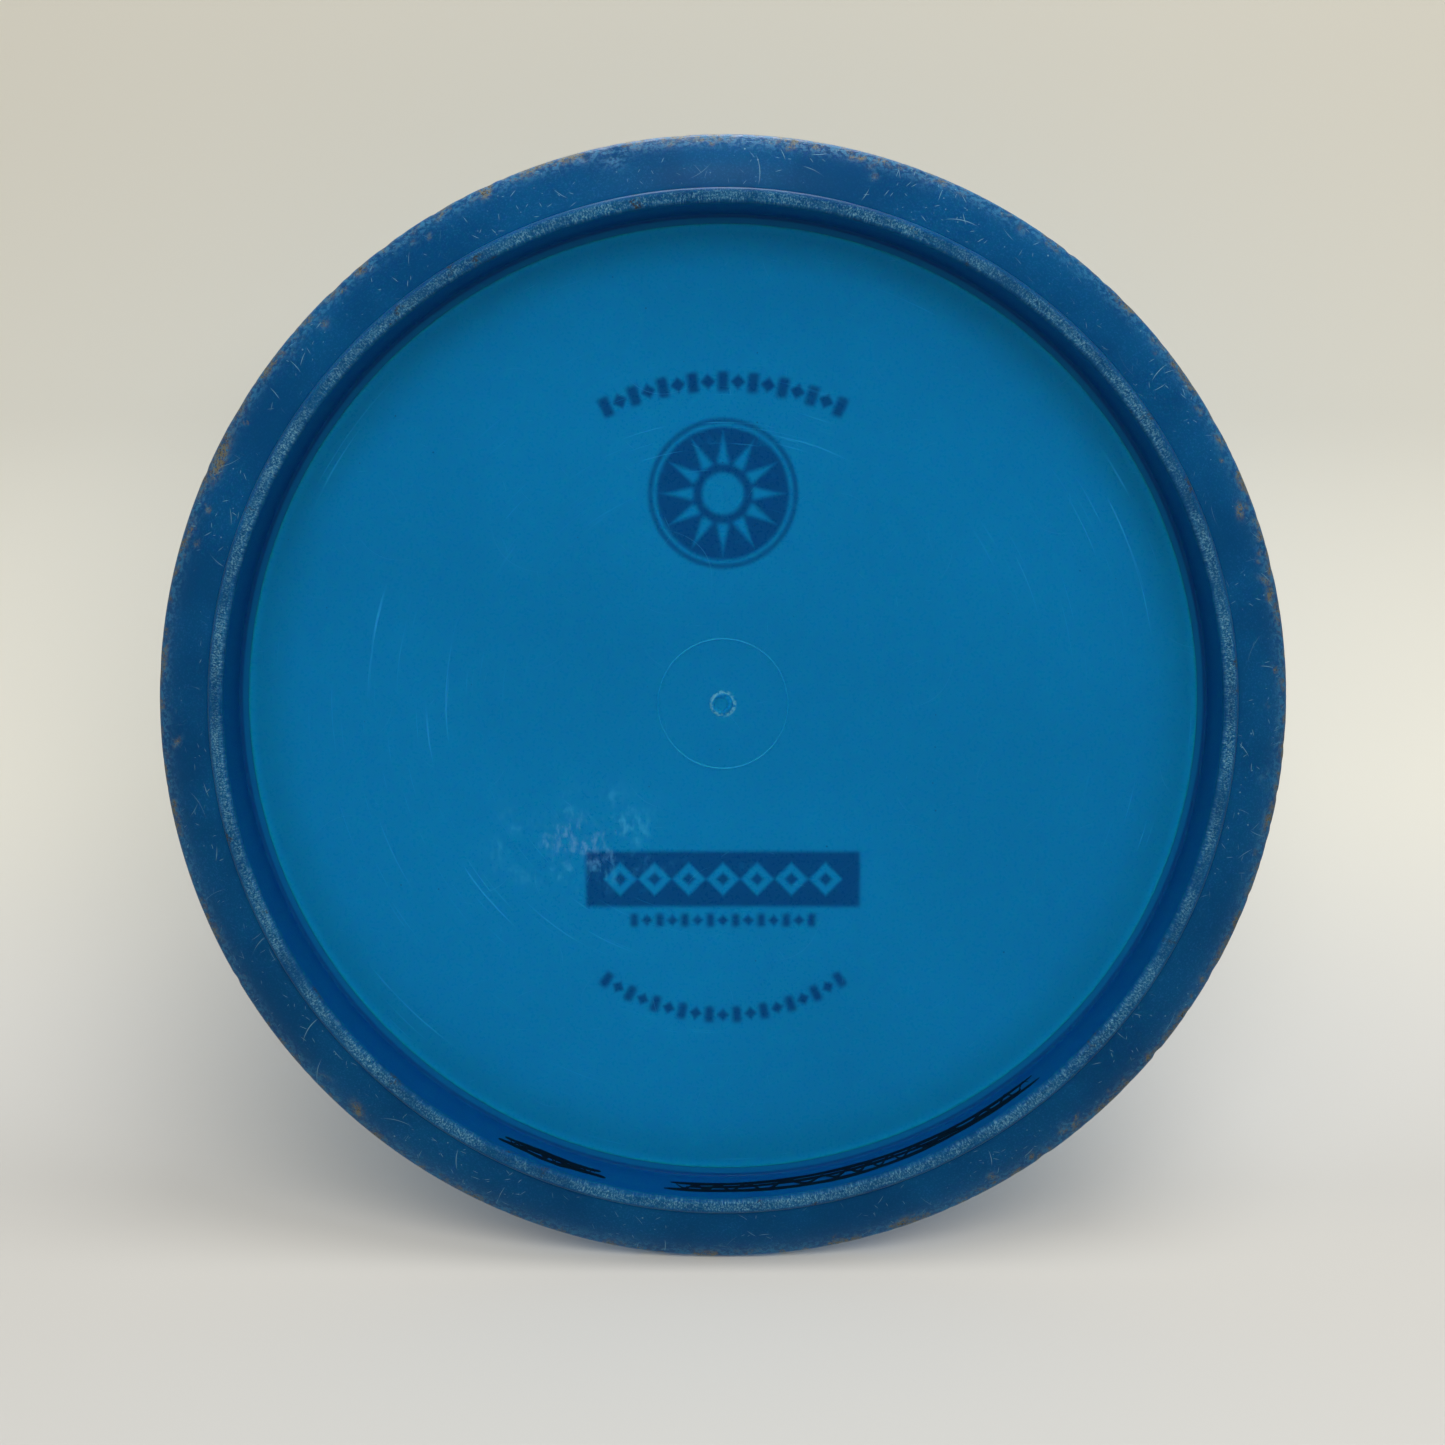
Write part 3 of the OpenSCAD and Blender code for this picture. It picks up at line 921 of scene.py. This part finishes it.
def make_camera():
    """In front of the hollow side, a little above the disc's axis, with a lens of 32 degrees."""
    tilt = math.radians(5.85)
    data = bpy.data.cameras.new("camera")
    data.sensor_width = 36
    data.lens = 62.2
    data.clip_start = 0.01
    data.clip_end = 20
    ahead = Vector((0, -math.sin(tilt), math.cos(tilt)))
    up = Vector((0, math.cos(tilt), math.sin(tilt)))
    turn = Matrix((ahead.cross(up), up, -ahead)).transposed()
    camera = bpy.data.objects.new("camera", data)
    camera.matrix_world = Matrix.Translation((0.0001, 0.0462, -0.4716)) @ turn.to_4x4()
    bpy.context.scene.collection.objects.link(camera)
    bpy.context.scene.camera = camera


# ---------------------------------------------------------------- the disc

rim = make_rim()
plate = make_plate()
ink_long = scribble("disc_ink_long", (229.5, 277), 4.8 * MM, 9.1 * MM, 13)
ink_short = scribble("disc_ink_short", (284, 297.5), 4.5 * MM, 7.6 * MM, 6)
rim.data.materials.append(rim_plastic())
plate.data.materials.append(plate_plastic())
ink = marker_ink()
ink_long.data.materials.append(ink)
ink_short.data.materials.append(ink)
for piece, node, slot in (
    (rim, "rim", "blue_plastic"),
    (plate, "flight_plate", "blue_plastic"),
    (ink_long, "ink_scribble_long", "marker_ink"),
    (ink_short, "ink_scribble_short", "marker_ink"),
):
    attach(piece, "root")
    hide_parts(node)

foil = foil_film()
stamps = [node for name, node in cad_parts.items() if name.startswith("stamp_")]
for stamp in stamps:
    stamp.data.materials.clear()
    stamp.data.materials.append(foil)

# ---------------------------------------------------------------- the set

floor = make_floor()
cove = make_cove()
disc = [rim, plate, ink_long, ink_short, *stamps]
on_disc = group("disc_only", disc)
on_cove = group("cove_only", [cove])
on_floor = group("floor_only", [floor])
soft_light("sheen", stage_point(0.0, 0.42, 0.75), 4.2, 0.4, on_disc)
soft_light("overhead", stage_point(0.03, -0.10, 1.0), 2.8, 0.6, on_disc, shine=0)
soft_light("glint", stage_point(0.0, -0.35, 0.9), 0.25, 0.12, on_disc)
soft_light("front", stage_point(0.05, -0.85, 0.70), 6.4, 0.9, on_disc, shine=0)
soft_light("back", Vector((-0.08, -0.30, 0.33)), 2.2, 0.4, on_disc, shine=0)
soft_light("cove_key", stage_point(0.20, -0.08, 1.0), 3.7, 0.5, on_cove)
soft_light("cove_fill", stage_point(0.18, -0.85, 0.8), 6.2, 0.9, on_cove)
soft_light("cove_wash", stage_point(0.05, -0.5, 0.7), 2.1, 0.8, on_cove, stage_point(0.0, 0.17, 0.45))
make_sun(Vector((-0.05, -0.38, 0.5)), 1.5, on_floor)
make_world()
make_camera()
bpy.context.scene.view_settings.view_transform = "Standard"
bpy.context.scene.cycles.max_bounces = 5
bpy.context.scene.cycles.diffuse_bounces = 3
bpy.context.scene.cycles.glossy_bounces = 2
